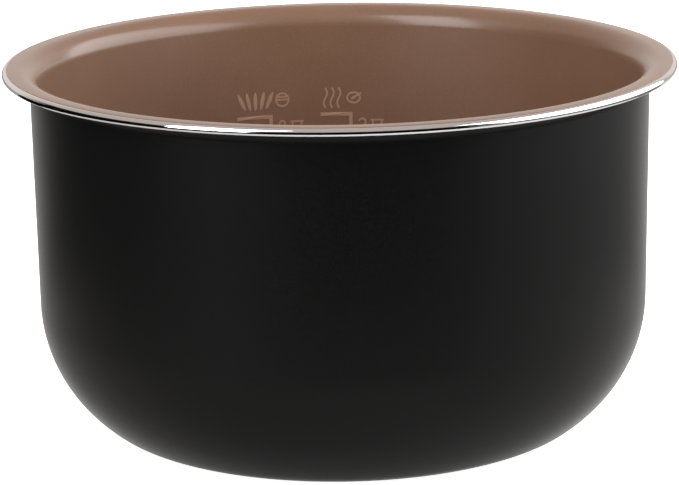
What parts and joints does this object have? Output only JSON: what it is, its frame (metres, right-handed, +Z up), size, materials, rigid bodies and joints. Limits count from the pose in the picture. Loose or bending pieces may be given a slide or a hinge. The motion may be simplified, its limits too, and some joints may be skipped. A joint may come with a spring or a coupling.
{
  "type": "cooker inner pot",
  "caption": "Lift-out inner pot of an electric rice or pressure cooker: round drawn bowl with a flared rim, polished edge, non-stick lining, dark outer coat and a printed level scale.",
  "frame": {"origin": "on the pot's axis, in the plane that the pot stands on", "axes": "+Z up along the axis, towards the mouth; +Y points at the stretch of wall that carries the printed scales; +X completes a right-handed frame"},
  "size_m": [0.245, 0.245, 0.136],
  "materials": {
    "bare_aluminium": "mirror-turned edge, bare turned standing ring",
    "inner_coat": "satin brown fluoropolymer non-stick",
    "outer_coat": "satin black heat-resistant paint",
    "ink": "matt pad-printed ink"
  },
  "bodies": {
    "root": {"aluminium_shell": "bare_aluminium", "inner_nonstick_coat": "inner_coat", "outer_black_coat": "outer_coat", "base_centre_coat": "outer_coat", "rice_level_lines": "ink", "rice_numeral_8": "ink", "rice_numeral_6": "ink", "rice_numeral_4": "ink", "rice_numeral_2": "ink", "rice_grain_sign_1": "ink", "rice_grain_sign_2": "ink", "rice_grain_sign_3": "ink", "rice_grain_sign_4": "ink", "rice_grain_sign_5": "ink", "rice_bowl_sign": "ink", "rice_cup_sign": "ink", "porridge_level_lines": "ink", "porridge_numeral_2": "ink", "porridge_numeral_1": "ink", "porridge_steam_sign_1": "ink", "porridge_steam_sign_2": "ink", "porridge_steam_sign_3": "ink", "porridge_bowl_sign": "ink", "porridge_cup_sign": "ink"}
  },
  "joints": []
}
